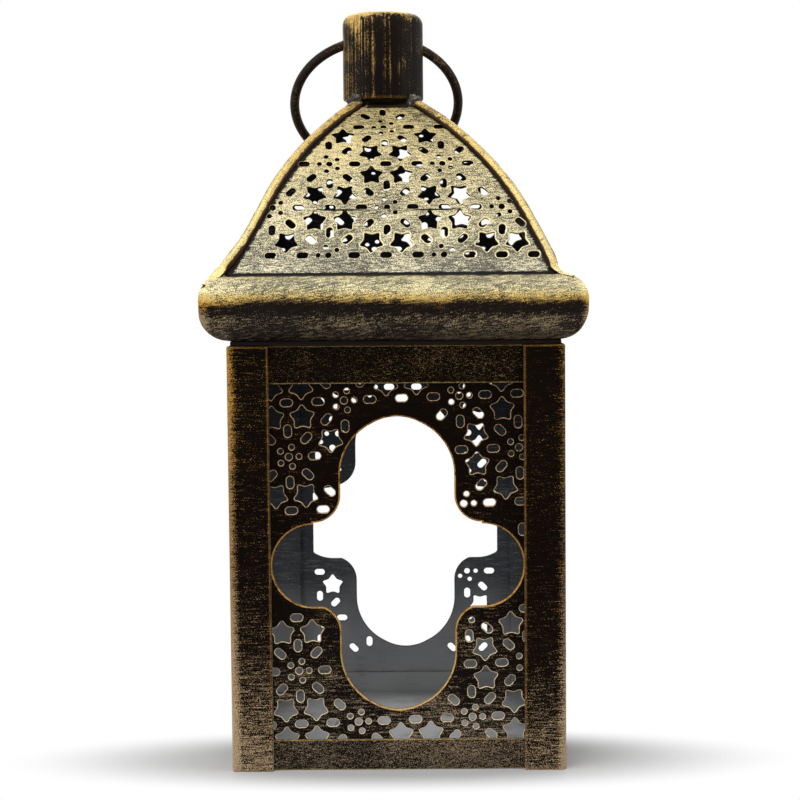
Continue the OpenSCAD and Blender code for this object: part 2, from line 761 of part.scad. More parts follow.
module cap() {
    color(paint_mid) translate([cap_shift, 0, cap_z]) difference() {
        rotate_extrude() intersection() {
            cup_section(cap_r, cap_h, cap_shoulder_r, cap_foot_round);
            square([cap_r, cap_h]);
        }
        translate([0, 0, -overrun]) rotate_extrude() intersection() {
            translate([0, -overrun]) cup_section(cap_r - cap_t, cap_h + 2 * overrun - cap_t,
                cap_shoulder_r - cap_t, 0);
            square([cap_r, cap_h + overrun]);
        }
        translate([0, 0, ring_hole_up]) rotate([0, ring_tip, ring_turn]) rotate([0, 90, 0])
            translate([0, 0, -cap_r - overrun]) cylinder(r = ring_hole_r, h = 2 * (cap_r + overrun));
    }
}

module ring() {
    color(wire_brown) translate([cap_shift, 0, ring_axis_z]) rotate([ring_lean, ring_tip, ring_turn])
        translate([0, 0, -ring_drop]) rotate([90, 0, 0])
            rotate_extrude($fn = 2 * wire_sides) translate([ring_r, 0]) circle(r = wire_r, $fn = wire_sides);
}

floor_pan();
angle_post(0);  // post_front_left
angle_post(1);  // post_front_right
angle_post(2);  // post_back_right
latch_post(3);  // post_back_left
rail(0, post_h - top_rail_h, top_rail_h);  // top_rail_front
rail(1, post_h - top_rail_h, top_rail_h);  // top_rail_right
rail(2, post_h - top_rail_h, top_rail_h);  // top_rail_back
rail(3, post_h - top_rail_h, top_rail_h);  // top_rail_left
rail(0, 0, bottom_rail_h);  // bottom_rail_front
rail(1, 0, bottom_rail_h);  // bottom_rail_right
rail(2, 0, bottom_rail_h);  // bottom_rail_back
rail(3, 0, bottom_rail_h);  // bottom_rail_left
wall_panel(0, front_flower);  // panel_front
side_panel(1, right_flower);  // panel_right
side_panel(3, left_flower);  // panel_left
door_panel();
door_frame();
door_knob();
hinge_door_leaf(hinge_high_z);  // hinge_upper_door_leaf
hinge_door_leaf(hinge_low_z);  // hinge_lower_door_leaf
hinge_post_leaf(hinge_high_z);  // hinge_upper_post_leaf
hinge_post_leaf(hinge_low_z);  // hinge_lower_post_leaf
hinge_pin(hinge_high_z);  // hinge_upper_pin
hinge_pin(hinge_low_z);  // hinge_lower_pin
latch_button();
latch_rivet();
latch_washer();
crown_frame();
cornice(0);  // cornice_front
cornice(1);  // cornice_right
cornice(2);  // cornice_back
cornice(3);  // cornice_left
roof_panel(0);  // roof_panel_front
roof_panel(1);  // roof_panel_right
roof_panel(2);  // roof_panel_back
roof_panel(3);  // roof_panel_left
hip_bead(0);  // hip_bead_front_left
hip_bead(1);  // hip_bead_front_right
hip_bead(2);  // hip_bead_back_right
hip_bead(3);  // hip_bead_back_left
cap_saddle();
cap();
ring();
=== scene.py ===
"""Looks of a small pierced-sheet candle lantern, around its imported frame."""

import json
import math

import bmesh
import bpy
from mathutils import Matrix, Vector, noise


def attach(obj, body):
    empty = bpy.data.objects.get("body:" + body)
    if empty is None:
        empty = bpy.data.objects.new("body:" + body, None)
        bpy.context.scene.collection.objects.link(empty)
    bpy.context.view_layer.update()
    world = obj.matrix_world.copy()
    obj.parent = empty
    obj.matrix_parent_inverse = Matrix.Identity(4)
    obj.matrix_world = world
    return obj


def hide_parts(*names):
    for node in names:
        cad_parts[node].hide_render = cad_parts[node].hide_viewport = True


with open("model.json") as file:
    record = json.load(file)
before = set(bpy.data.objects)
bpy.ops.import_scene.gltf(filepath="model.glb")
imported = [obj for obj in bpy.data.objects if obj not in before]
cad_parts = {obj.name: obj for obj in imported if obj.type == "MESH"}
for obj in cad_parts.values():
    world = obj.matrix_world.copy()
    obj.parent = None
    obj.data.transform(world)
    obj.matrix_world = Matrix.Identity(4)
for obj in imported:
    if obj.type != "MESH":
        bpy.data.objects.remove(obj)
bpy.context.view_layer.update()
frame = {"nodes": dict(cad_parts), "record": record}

MM = 0.001

# Sizes of the real lantern in mm, as the frame has them
BODY_HALF = 45.0
CORNICE_Z = 115.9
CORNICE_H = 17.45
CORNICE_HALF = 51.0
CORNICE_UPPER_R = 6.4
CORNICE_LOWER_R = 8.2
CORNICE_T = 0.9
CORNICE_OPEN_HALF = 40.0
ROOF_Z = 133.35
ROOF_FOOT_HALF = 44.15
ROOF_X = -1.3
ROOF_SLOPE = math.radians(62.5)
ROOF_STRAIGHT = 18.0
ROOF_R = 88.0
ROOF_TOP_HALF = 8.0
BEAD_R = 1.35
CAP_Z = 182.45
CAP_TOP_Z = 206.85
CAP_X = -4.1
# Sideways lean of the hand-built roof in mm, as factors of a cubic in the share of its height
LEAN = (1.710, -6.891, 3.631, 0.2)
BEND_HALF = ROOF_FOOT_HALF - ROOF_STRAIGHT * math.cos(ROOF_SLOPE)
BEND_Z = ROOF_Z + ROOF_STRAIGHT * math.sin(ROOF_SLOPE)
ARC_HALF = BEND_HALF - ROOF_R * math.sin(ROOF_SLOPE)
ARC_Z = BEND_Z - ROOF_R * math.cos(ROOF_SLOPE)
ROOF_TOP_Z = ARC_Z + math.sqrt(ROOF_R ** 2 - (ROOF_TOP_HALF - ARC_HALF) ** 2)

SIDES = ("front", "right", "back", "left")
CORNERS = ("front_left", "front_right", "back_right", "back_left")
slot_of = {s["node"]: s["material_slot"] for s in frame["record"]["subparts"]}
body_of = {n: b for b, members in frame["record"]["behaviour"]["bodies"].items() for n in members}


def linear(hexa):
    """sRGB hex to a linear colour."""
    parts = [int(hexa[i:i + 2], 16) / 255 for i in (1, 3, 5)]
    return [c / 12.92 if c <= 0.04045 else ((c + 0.055) / 1.055) ** 2.4 for c in parts] + [1.0]


# Materials

def node(tree, kind, links=(), **settings):
    """Adds a node, sets its attributes and sockets, and links its inputs; a number in links is set."""
    made = tree.nodes.new("ShaderNode" + kind)
    for key, value in settings.items():
        if hasattr(made, key) and key != "inputs":
            setattr(made, key, value)
        else:
            made.inputs[key.replace("_", " ")].default_value = value
    for socket, source in dict(links).items():
        if isinstance(source, bpy.types.NodeSocket):
            tree.links.new(source, made.inputs[socket])
        else:
            made.inputs[socket].default_value = source
    return made


def calc(tree, operation, a, b=0.0, c=0.0):
    """One step of arithmetic; the result stays as it is."""
    return node(tree, "Math", {0: a, 1: b, 2: c}, operation=operation).outputs[0]


def ramp(tree, source, stops):
    """Reads a colour or a grey from stops of (share, value) along a 0 to 1 source."""
    made = node(tree, "ValToRGB", {0: source})
    while len(made.color_ramp.elements) < len(stops):
        made.color_ramp.elements.new(0.5)
    for element, (place, value) in zip(made.color_ramp.elements, stops):
        element.position = place
        element.color = linear(value) if isinstance(value, str) else [value] * 3 + [1]
    return made.outputs["Color"]


def mix(tree, factor, a, b):
    """Colour a where the factor is 0, b where it is 1."""
    return node(tree, "Mix", {0: factor, 6: a, 7: b}, data_type="RGBA").outputs[2]


def between(tree, source, low, high, start=0.0, end=1.0):
    """start where the source is at low, to end where it is at high, and no further."""
    return node(tree, "MapRange", {0: source, 1: low, 2: high, 3: start, 4: end}).outputs[0]


def centred(tree, source):
    """Noise about nought."""
    return calc(tree, "SUBTRACT", source, 0.5)


def split_at(tree, place):
    """The X, Y and Z of a place."""
    return node(tree, "SeparateXYZ", {0: place}).outputs


def noise_at(tree, place, size_mm, detail=2.0, rough=0.6, slant=0.0):
    """Noise with features of about size_mm along each axis."""
    sizes = size_mm if isinstance(size_mm, tuple) else (size_mm,) * 3
    turned = place
    if slant:
        turned = node(tree, "Mapping", {"Vector": place}, Rotation=(0, math.radians(slant), 0)).outputs[0]
    spread = node(tree, "Mapping", {"Vector": turned}, Scale=[1 / (MM * s) for s in sizes]).outputs[0]
    return node(tree, "TexNoise", {"Vector": spread}, Scale=1.0, Detail=detail,
                Roughness=rough).outputs["Fac"]


# Where each mask of the brushed paint begins and where it is full: gold on the flats, the burnt fringe and
# the gold line of an edge, the brighter specks within the gold, and the brown flecks of the ground
FLATS = (0.72, 0.84)
FRINGE = (0.01, 0.12)
RIM = (0.04, 0.13)
SPECKS = (0.36, 0.62)
FLECKS = (0.58, 0.82)
# Spray grain is under 0.1 mm on the real paint; it is drawn coarser, so that a picture still shows it
GRAIN_MM = 0.17
# How far the patches shift the stops along the height, as a share of the span
WAVE = 0.16
# Factor and offset by which the streaks break up an edge's gold line, and their weight in the brown flecks
BREAK, BREAK_FROM = 2.2, -0.35
FLECK_STREAK = 0.7
# How much rougher the grain makes the paint, and how far gold paint stands up
GRAIN_ROUGH = 0.14
GOLD_MM = 0.05
# A ramp's stops can't lie below nought, so cover is raised by this much while it passes through one
COVER_ZERO = 0.5


def dry_brushed(name, span, ground, gold, glint, cover, stroke_mm, burnt="#5a3409", edge_mm=0.7,
                edge_gain=1.0, rough=0.42, metal=0.3, gloss=0.1, extra=None, patch_mm=18.0, slant=0.0,
                grain_weight=0.9, patch_weight=0.55, burn=0.85, fleck=None, line=None, shadow=None,
                shade="#070403"):
    """Enamelled sheet steel, sprayed dark and dry-brushed with gold paint. The brush leaves broken strokes
    and speckle on the flats and a ragged line on every edge, over a burnt brown fringe. Ground, gold, glint
    and cover are stops along the height between the two ends of span, in mm. Extra adds to the cover by
    place, and shadow masks where the shade colour is left."""
    material = bpy.data.materials.new(name)
    material.use_nodes = True
    tree = material.node_tree
    tree.nodes.clear()
    place = node(tree, "TexCoord").outputs["Object"]
    height = between(tree, split_at(tree, place)["Z"], span[0] * MM, span[1] * MM)
    streak = noise_at(tree, place, stroke_mm, 3.0, 0.62, slant)
    grain = noise_at(tree, place, GRAIN_MM, 1.0, 0.5)
    patch = noise_at(tree, place, patch_mm, 2.0, 0.55)
    wavy = calc(tree, "MULTIPLY_ADD", centred(tree, patch), WAVE, height)
    worn = calc(tree, "MULTIPLY_ADD", centred(tree, grain), grain_weight, streak)
    worn = calc(tree, "MULTIPLY_ADD", centred(tree, patch), patch_weight, worn)
    worn = calc(tree, "ADD", worn, ramp(tree, wavy, [(at, value + COVER_ZERO) for at, value in cover]))
    worn = calc(tree, "SUBTRACT", worn, COVER_ZERO)
    if extra:
        worn = calc(tree, "ADD", worn, extra(tree, place))
    flats = between(tree, worn, *FLATS)
    round_edge = node(tree, "Bevel", samples=5, Radius=MM * edge_mm).outputs[0]
    true_normal = node(tree, "NewGeometry").outputs["Normal"]
    turned = node(tree, "VectorMath", {0: round_edge, 1: true_normal},
                  operation="DOT_PRODUCT").outputs["Value"]
    edge = calc(tree, "MAXIMUM", calc(tree, "SUBTRACT", 1.0, turned), 0.0)
    ragged = calc(tree, "MULTIPLY", edge, calc(tree, "MULTIPLY_ADD", streak, BREAK, BREAK_FROM))
    fringe = between(tree, edge, *FRINGE, end=burn)
    rim = between(tree, calc(tree, "MULTIPLY", ragged, edge_gain), *RIM)
    speck = between(tree, grain, *SPECKS)
    tone = mix(tree, speck, ramp(tree, wavy, gold), ramp(tree, wavy, glint))
    base = ramp(tree, wavy, ground)
    if fleck:
        mottle = calc(tree, "MULTIPLY_ADD", centred(tree, streak), FLECK_STREAK, grain)
        base = mix(tree, between(tree, mottle, *FLECKS), base, linear(fleck))
    colour = mix(tree, fringe, base, linear(burnt))
    colour = mix(tree, flats, colour, tone)
    colour = mix(tree, rim, colour, mix(tree, speck, linear(line[0]), linear(line[1])) if line else tone)
    if shadow:
        colour = mix(tree, shadow(tree, place, streak), colour, linear(shade))
    gilt = calc(tree, "MAXIMUM", flats, rim)
    shader = node(tree, "BsdfPrincipled", {
        "Base Color": colour,
        "Metallic": calc(tree, "MULTIPLY", gilt, metal),
        "Roughness": calc(tree, "MULTIPLY_ADD", grain, GRAIN_ROUGH, rough),
        "Specular IOR Level": gloss,
    })
    bump = node(tree, "Bump", {"Height": calc(tree, "ADD", worn, gilt)}, Strength=0.3,
                Distance=MM * GOLD_MM)
    tree.links.new(bump.outputs[0], shader.inputs["Normal"])
    node(tree, "OutputMaterial", {0: shader.outputs[0]})
    material.diffuse_color = linear(ground[0][1])
    return material


# On the right side the gold of the corners is weaker by this share, and the cover lower by this much
RIGHT_WEAKER = -0.35
RIGHT_COVER = -0.09


def outer_corner(width, gain):
    """More gold in a ragged band beside the body's four upright corners, and less of it on the right."""
    def band(tree, place):
        at = split_at(tree, place)
        gaps = [calc(tree, "SUBTRACT", BODY_HALF * MM, calc(tree, "ABSOLUTE", at[axis]))
                for axis in ("X", "Y")]
        right = between(tree, at["X"], 0.0, MM)
        gold = between(tree, calc(tree, "MAXIMUM", *gaps), 0.2 * MM, width * MM, gain, 0.0)
        gold = calc(tree, "MULTIPLY", gold, calc(tree, "MULTIPLY_ADD", right, RIGHT_WEAKER, 1.0))
        return calc(tree, "MULTIPLY_ADD", right, RIGHT_COVER, gold)
    return band


def cornice_ends(tree, place):
    """More gold on the cornice's rounded ends."""
    at = split_at(tree, place)
    near = calc(tree, "MINIMUM", calc(tree, "ABSOLUTE", at["X"]), calc(tree, "ABSOLUTE", at["Y"]))
    return between(tree, near, (CORNICE_HALF - 2.6) * MM, (CORNICE_HALF - 0.8) * MM, 0.0, 0.3)


def off_hip(tree, at):
    """How far a spot of the leaning roof lies beside the nearest hip, in m."""
    t = between(tree, at["Z"], ROOF_Z * MM, ROOF_TOP_Z * MM)
    shift = LEAN[0]
    for factor in LEAN[1:]:
        shift = calc(tree, "MULTIPLY_ADD", shift, t, factor)
    middle = calc(tree, "MULTIPLY_ADD", shift, MM, ROOF_X * MM)
    across = calc(tree, "ABSOLUTE", calc(tree, "SUBTRACT", at["X"], middle))
    return calc(tree, "ABSOLUTE", calc(tree, "SUBTRACT", calc(tree, "ABSOLUTE", at["Y"]), across))


def cap_left(tree, place):
    """More gold on the cap's left flank."""
    return between(tree, split_at(tree, place)["X"], (CAP_X - 10.0) * MM, (CAP_X - 3.0) * MM, 0.14, 0.0)


def roof_seam_shade(tree, place, streak):
    """Painted shade: black in the corner beside each hip bead and along the roof's foot."""
    at = split_at(tree, place)
    ragged = calc(tree, "MULTIPLY", centred(tree, streak), 2.2 * MM)
    hips = between(tree, calc(tree, "ADD", off_hip(tree, at), ragged), 2.0 * MM, 2.5 * MM, 1.0, 0.0)
    up = calc(tree, "SUBTRACT", at["Z"], ROOF_Z * MM)
    foot = between(tree, calc(tree, "MULTIPLY_ADD", ragged, 0.35, up), 0.55 * MM, 0.8 * MM, 1.0, 0.0)
    return calc(tree, "MAXIMUM", hips, foot)


def bead_flank_shade(tree, place, streak):
    """Where the brown shade colour goes on a hip bead's flanks: partly where the brush, which meets only the
    ridge, left them brown, and partly painted shade.
    """
    ridge = node(tree, "Attribute", attribute_name="ridge").outputs["Fac"]
    ragged = calc(tree, "MULTIPLY_ADD", centred(tree, streak), 0.4, ridge)
    return between(tree, ragged, 0.62, 0.8, 1.0, 0.0)


def cornice_seam_shade(tree, place, streak):
    """Painted shade: black on top of the cornice along the roof's foot."""
    at = split_at(tree, place)
    side = calc(tree, "MAXIMUM", calc(tree, "ABSOLUTE", at["X"]), calc(tree, "ABSOLUTE", at["Y"]))
    ragged = calc(tree, "MULTIPLY", centred(tree, streak), 1.4 * MM)
    inner = between(tree, calc(tree, "ADD", side, ragged), (BODY_HALF + 1.0) * MM, (BODY_HALF + 2.0) * MM,
                    1.0, 0.0)
    above = calc(tree, "GREATER_THAN", at["Z"], (CORNICE_Z + CORNICE_H / 2) * MM)
    return calc(tree, "MULTIPLY", inner, above)


def evenly(*values):
    """Stops at equal distances."""
    last = max(len(values) - 1, 1)
    return [(i / last, v) for i, v in enumerate(values)]


# Sizes of a brush stroke in mm along X, Y and Z: level ones run across the posts and along the rails
LEVEL_STROKE = (4.0, 4.0, 0.3)
BODY_SPAN = (0.0, 114.6)
ROOF_SPAN = (ROOF_Z, ROOF_TOP_Z)
INSIDE_SPAN = (0.0, 181.0)

# Satin black enamel on steel, dry-brushed with old gold: near black at the top, paler and sandier at the
# foot, with a broken gold band along each outer corner that draws the body's outline
post_paint = dry_brushed(
    "black_enamel_brushed_posts", BODY_SPAN, evenly("#100a06", "#080402", "#060301"),
    evenly("#85725e", "#6a5334", "#5c3c12"), evenly("#d6ba94", "#a58254", "#bd8c3c"),
    evenly(0.27, 0.06, -0.05, -0.06, -0.05), LEVEL_STROKE, burnt="#74480e", edge_mm=1.2, edge_gain=1.2,
    patch_weight=0.25, extra=outer_corner(2.8, 0.5), fleck="#2c1a09", line=("#7a5218", "#dcae58"),
    gloss=0.03, grain_weight=1.3)
# The same enamel on the rails, only spattered: it reads as a fine gold dust between two thin gold lines
rail_paint = dry_brushed(
    "black_enamel_brushed_rails", BODY_SPAN, evenly("#14100d", "#080402", "#070401"),
    evenly("#6a5d50", "#5c472c", "#4a3620"), evenly("#a18d74", "#8a6c44", "#94744a"),
    evenly(0.12, 0.0, -0.08, -0.1, -0.08), (1.1, 1.1, 0.26), burnt="#5d3a0c", edge_mm=0.6, edge_gain=2.4,
    fleck="#301c09", line=("#a07a34", "#f0d084"), grain_weight=1.9, gloss=0.03)
# The same enamel on the recessed walls, which the brush hardly meets: quiet and dark behind the pale rims
wall_paint = dry_brushed(
    "black_enamel_brushed_sheet", BODY_SPAN, evenly("#14100c", "#080402", "#070301"),
    evenly("#76675a", "#5e492e", "#4a2f10"), evenly("#b3a18a", "#8c7048", "#7a521c"),
    evenly(0.16, 0.07, -0.02, -0.05, -0.06), LEVEL_STROKE, burnt="#4c2c06", edge_mm=0.6, edge_gain=0.5,
    fleck="#241305", gloss=0.03)
# Grey enamel under heavy gold: the roof faces the light and reads as pale straw with grey showing through
roof_paint = dry_brushed(
    "grey_enamel_brushed_roof", ROOF_SPAN, evenly("#565348", "#4e4a3e", "#4a4538", "#403a2c"),
    evenly("#8c7e5c", "#8e7c54", "#8e7444"), evenly("#fdf4d0", "#faecb8", "#f4de98"),
    [(0.0, 0.18), (0.12, 0.18), (0.2, 0.24), (1.0, 0.26)], (2.2, 2.2, 0.34), burnt="#2a1c0a", edge_mm=0.5,
    metal=0.2, gloss=0.12, burn=0.4, shadow=roof_seam_shade, grain_weight=1.4)
# Brown enamel under gold, with light painted in: the roll's pale top is a painted sheen, its yellow shoulder
# a painted highlight, the black band below that a painted dark reflection, and the grey-brown underside a
# painted reflection of the floor; together they give it its roundness
cornice_paint_and_light = dry_brushed(
    "brown_enamel_brushed_cornice_and_painted_light", (CORNICE_Z, ROOF_Z),
    [(0.0, "#0a0705"), (0.12, "#1a1511"), (0.3, "#17130f"), (0.45, "#0a0502"), (0.58, "#0d0602"),
     (0.68, "#3c3a30"), (0.93, "#6c6957"), (1.0, "#2c2414")],
    [(0.0, "#5a4a38"), (0.4, "#6f5b3e"), (0.55, "#6a460f"), (0.66, "#8a651a"), (0.8, "#8c7c4c"),
     (1.0, "#a08a52")],
    [(0.0, "#96836c"), (0.4, "#c4ac84"), (0.55, "#c08a30"), (0.66, "#f2cf74"), (0.8, "#fdf0bc"),
     (1.0, "#fdeebc")],
    [(0.0, 0.12), (0.15, 0.08), (0.35, 0.07), (0.46, -0.14), (0.54, -0.14), (0.62, 0.16), (0.68, 0.28),
     (0.9, 0.16), (1.0, 0.28)],
    (2.4, 2.4, 0.4), burnt="#6a4410", slant=7.0, gloss=0.08, edge_gain=0.6, extra=cornice_ends,
    fleck="#332b20", shadow=cornice_seam_shade, grain_weight=1.4)
# Nearly whole gold on the hips' ridges: bright lines that draw the roof's outline; their brown flanks are
# partly painted shade
bead_paint = dry_brushed(
    "gold_brushed_hip_bead", (CORNICE_Z, ROOF_TOP_Z), evenly("#4a3414", "#3c280c", "#2a1a0a"),
    evenly("#a07a30", "#98722a", "#7a5620"), evenly("#fdf2b8", "#fbe9a0", "#ecca74"),
    evenly(0.46, 0.42, 0.34), (2.5, 2.5, 1.6), burnt="#7a4c12", edge_gain=0.4, gloss=0.2,
    shadow=bead_flank_shade, shade="#3a220a")
# Gold brushed over brown on hinges, knob and turn button: the small bright accents of the back
fitting_paint = dry_brushed(
    "gold_brushed_fittings", BODY_SPAN, evenly("#33210f", "#33210f"), evenly("#8a6530", "#8a6530"),
    evenly("#d9b366", "#d9b366"), evenly(0.2, 0.2), (2.0, 2.0, 0.8), burnt="#7a4c12", edge_mm=0.4)
# Dark brown enamel with upright gold drags: the cap reads as a brushed, slightly glossy cylinder; the heavy
# gold on its top rim is partly brush wear and partly a painted highlight
cap_paint = dry_brushed(
    "brown_enamel_brushed_cap", (CAP_Z, CAP_TOP_Z), evenly("#070402", "#0a0603", "#0c0703", "#191008"),
    evenly("#5f4620", "#6a4e20", "#7a5c2c"), evenly("#c09a50", "#c8a058", "#ecc878"),
    [(0.0, 0.06), (0.2, -0.02), (0.8, 0.04), (0.95, 0.16), (1.0, 0.42)], (0.5, 0.5, 60.0),
    burnt="#5b3c10", edge_mm=1.0, grain_weight=0.8, fleck="#2c1a08", line=("#8a6424", "#f0cc80"),
    gloss=0.06, patch_mm=7.0, extra=cap_left)
# Brown enamel on wire, rubbed by handling: a dark line with a few dull brown glints
wire_paint = dry_brushed(
    "brown_enamel_wire", (158.0, 200.0), evenly("#1c1007", "#170d06"), evenly("#4a3214", "#4a3214"),
    evenly("#8a6a3c", "#8a6a3c"), evenly(0.0, 0.05), (1.0, 1.0, 1.0), edge_gain=0.2, fleck="#2c1c0c")
# Bare grey undercoat inside, matt, with light and shade painted in: pale on the floor, where light comes in,
# as painted light, and nearly black under the roof as painted shade
inside_paint_and_light = dry_brushed(
    "grey_undercoat_inside_painted_light", INSIDE_SPAN, [(0.0, "#9a9b9c"), (0.1, "#8a8b8d"), (0.22, "#46484c"),
    (0.5, "#2a2c31"), (0.72, "#1c1d20"), (1.0, "#141414")],
    evenly("#6c6c6c", "#303236"), evenly("#868684", "#3a3c40"),
    evenly(0.12, 0.0), (6.0, 6.0, 0.6), burnt="#26262a", edge_gain=0.2, rough=0.6, metal=0.0, gloss=0.1)
# Black enamel run over the stamped edges: gives each hole its depth
cut_paint = dry_brushed(
    "black_enamel_cut_edge", INSIDE_SPAN, evenly("#050302", "#070402"), evenly("#3a2a14", "#3a2a14"),
    evenly("#57411f", "#57411f"), evenly(-0.1, -0.1), (1.0, 1.0, 1.0), edge_gain=0.1, burn=0.1, gloss=0.03)
# Dull tin solder, smeared with paint: small grey lumps at the tops of the hips
solder_paint = dry_brushed(
    "grey_solder", (170.0, 185.0), evenly("#3c3a36", "#3c3a36"), evenly("#6e6a60", "#6e6a60"),
    evenly("#b9b4a4", "#b9b4a4"), evenly(0.1, 0.1), (1.0, 1.0, 1.0), burnt="#1a140c", edge_gain=0.3)
# Black enamel in the recesses, out of the brush's reach and made dark as painted shade: the dark lines under
# the cornice and the cap
seam_paint_and_shade = dry_brushed(
    "black_enamel_seam_and_painted_shade", (113.0, 185.0), evenly("#0b0704", "#0b0704"), evenly("#4a3516", "#4a3516"),
    evenly("#7a5c2c", "#7a5c2c"), evenly(-0.1, 0.04), LEVEL_STROKE, edge_gain=0.3, burn=0.3)
# Gold caught by the small holes' burrs: pale tan rings, faint at the top of the body
wall_rim = dry_brushed(
    "gold_brushed_hole_rim", BODY_SPAN, evenly("#4c3820", "#3a260e"), evenly("#b49c78", "#8e7650", "#5e4624"),
    evenly("#fff0d0", "#dcc49c", "#b08e5e"), evenly(0.5, 0.46, 0.38), (1.2, 1.2, 1.2), burnt="#5a3c14",
    edge_gain=0.5, metal=0.1, patch_mm=9.0, patch_weight=0.9)
# Gold caught by the window's edge: one orange-brown line round the four lobes
window_rim = dry_brushed(
    "gold_brushed_window_rim", BODY_SPAN, evenly("#3a240c", "#3a240c"),
    evenly("#a07a3c", "#85591c", "#7d5218"), evenly("#e6c084", "#cf983c", "#c08a36"),
    evenly(0.42, 0.34, 0.3), (1.6, 1.6, 1.6), edge_gain=0.5)
# Gold caught by the roof holes' burrs: bright straw rings against the black of the holes
roof_rim = dry_brushed(
    "gold_brushed_roof_rim", ROOF_SPAN, evenly("#8a7238", "#7a6228"), evenly("#ecd694", "#dcc076"),
    evenly("#fff6cc", "#fbe8a8"), evenly(0.5, 0.46), (1.0, 1.0, 1.0), burnt="#8a7034", edge_gain=0.5,
    gloss=0.2, metal=0.1)

FINISH = {
    "posts": post_paint, "rails": rail_paint, "wall_sheet": wall_paint, "door_sheet": wall_paint,
    "door_frame": post_paint, "fittings": fitting_paint, "floor": inside_paint_and_light, "crown": seam_paint_and_shade,
    "cornice": cornice_paint_and_light, "roof_sheet": roof_paint, "hip_beads": bead_paint, "saddle": seam_paint_and_shade,
    "cap": cap_paint, "ring": wire_paint,
}


# Pieces

def merged_copy(name, flat_angle=0.3):
    """A CAD node's mesh with its corners merged and its flat faces joined."""
    bm = bmesh.new()
    bm.from_mesh(frame["nodes"][name].data)
    bmesh.ops.remove_doubles(bm, verts=bm.verts, dist=1e-6)
    bmesh.ops.dissolve_limit(bm, angle_limit=math.radians(flat_angle), verts=bm.verts, edges=bm.edges)
    return bm


def finished(bm, name, nodes, paints, smooth_angle=32.0, slot=None, body="lantern"):
    """Makes a piece of a bmesh: smooth up to an angle, riding its body, in place of its CAD nodes."""
    for face in bm.faces:
        face.smooth = True
    mesh = bpy.data.meshes.new(name)
    bm.to_mesh(mesh)
    bm.free()
    mesh.set_sharp_from_angle(angle=math.radians(smooth_angle))
    for paint in paints:
        mesh.materials.append(paint)
    made = bpy.data.objects.new(name, mesh)
    bpy.context.scene.collection.objects.link(made)
    if nodes:
        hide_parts(*nodes)
        slot, body = slot_of[nodes[0]], body_of[nodes[0]]
    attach(made, body)
    return made


def side_turn(k):
    """Turns what is drawn for the front to side k: 0 front, 1 right, 2 back, 3 left."""
    return Matrix.Rotation(math.radians(90 * k), 4, "Z")


def share(value, start, end):
    """How far a value has come from start to end, as 0 to 1."""
    return min(max((value - start) / (end - start), 0.0), 1.0)


def hump(value, middle, half):
    """1 at the middle, falling to 0 at half to either side."""
    return max(0.0, 1 - ((value - middle) / half) ** 2)


def roof_lean(z):
    """Sideways lean of the hand-built roof in mm at a height in mm, as the real one has it."""
    t = share(z, ROOF_Z, ROOF_TOP_Z)
    shift = 0.0
    for factor in LEAN:
        shift = shift * t + factor
    return shift


def lean(bm):
    """Leans what lies below the cap; the cap itself stands true."""
    for v in bm.verts:
        if v.co.z < CAP_Z * MM:
            v.co.x += roof_lean(v.co.z / MM) * MM


# Cosine from which a face looks the sheet's way
FACES_OUT = 0.75


def skin_side(face, k, sloped):
    """1 on the outer skin of a sheet, -1 on its inner skin, 0 on a cut edge."""
    out = Vector((0, -1, 0))
    if sloped:
        spot = side_turn(k).inverted() @ (face.calc_center_median() - Vector((ROOF_X * MM, 0, 0)))
        if spot.z > BEND_Z * MM:
            out = Vector((0, spot.y + ARC_HALF * MM, spot.z - ARC_Z * MM)).normalized()
        else:
            out = Vector((0, -math.sin(ROOF_SLOPE), math.cos(ROOF_SLOPE)))
    along = face.normal.dot(side_turn(k) @ out)
    return 1 if along > FACES_OUT else -1 if along < -FACES_OUT else 0


def islands(faces):
    """Groups of faces that touch each other, in the order of the faces."""
    left = dict.fromkeys(faces)
    while left:
        group, queue = [], [left.popitem()[0]]
        while queue:
            face = queue.pop()
            group.append(face)
            for other in dict.fromkeys(g for e in face.edges for g in e.link_faces if g in left):
                del left[other]
                queue.append(other)
        yield group


def extent(group):
    """Largest side in mm of the box round some faces."""
    corners = [v.co for f in group for v in f.verts]
    return max(max(c[i] for c in corners) - min(c[i] for c in corners) for i in range(3)) / MM


# Sizes in mm of the stamped stars, of which each side is cut, and each corner moved some rounds by a share
# of the way to its neighbours' middle
STAR_SIZE = (4.5, 8.0)
STAR_CUTS = 2
STAR_ROUNDS = 2
STAR_SHARE = 0.5


def stars_rounded(bm, k, sloped):
    """Rounds the stars' tips and notches, as a worn punch leaves them."""
    cut = [f for f in bm.faces if not skin_side(f, k, sloped)]
    stars = [f for group in islands(cut) if STAR_SIZE[0] < extent(group) < STAR_SIZE[1] for f in group]
    inside = set(stars)
    rim = {e for f in stars for e in f.edges
           if len(e.link_faces) == 2 and any(g not in inside for g in e.link_faces)}
    bm.edges.index_update()
    made = bmesh.ops.subdivide_edges(bm, edges=sorted(rim, key=lambda e: e.index), cuts=STAR_CUTS)
    split = made["geom_inner"] + made["geom_split"]
    edges = {g for g in split if isinstance(g, bmesh.types.BMEdge)} | rim
    edges = [e for e in edges if e.is_valid and len(e.link_faces) == 2
             and sorted(bool(skin_side(f, k, sloped)) for f in e.link_faces) == [False, True]]
    near = {}
    for e in edges:
        for a, b in (e.verts, reversed(e.verts)):
            near.setdefault(a, []).append(b)
    for _ in range(STAR_ROUNDS):
        moved = {v: v.co.lerp((n[0].co + n[1].co) / 2, STAR_SHARE) for v, n in near.items() if len(n) == 2}
        for v, spot in moved.items():
            v.co = spot
    bm.normal_update()


# Faces across a wall above this area in mm2 belong to its folded flanges; cut edges that reach no further
# than these sizes in mm are a hole's or a window's
FLANGE_AREA = 60.0
HOLE_SIZE = 12
WINDOW_SIZE = 85
# Material slots of a pierced sheet
OUTER, HOLE_RIM, CUT, INNER, WINDOW_RIM = range(5)


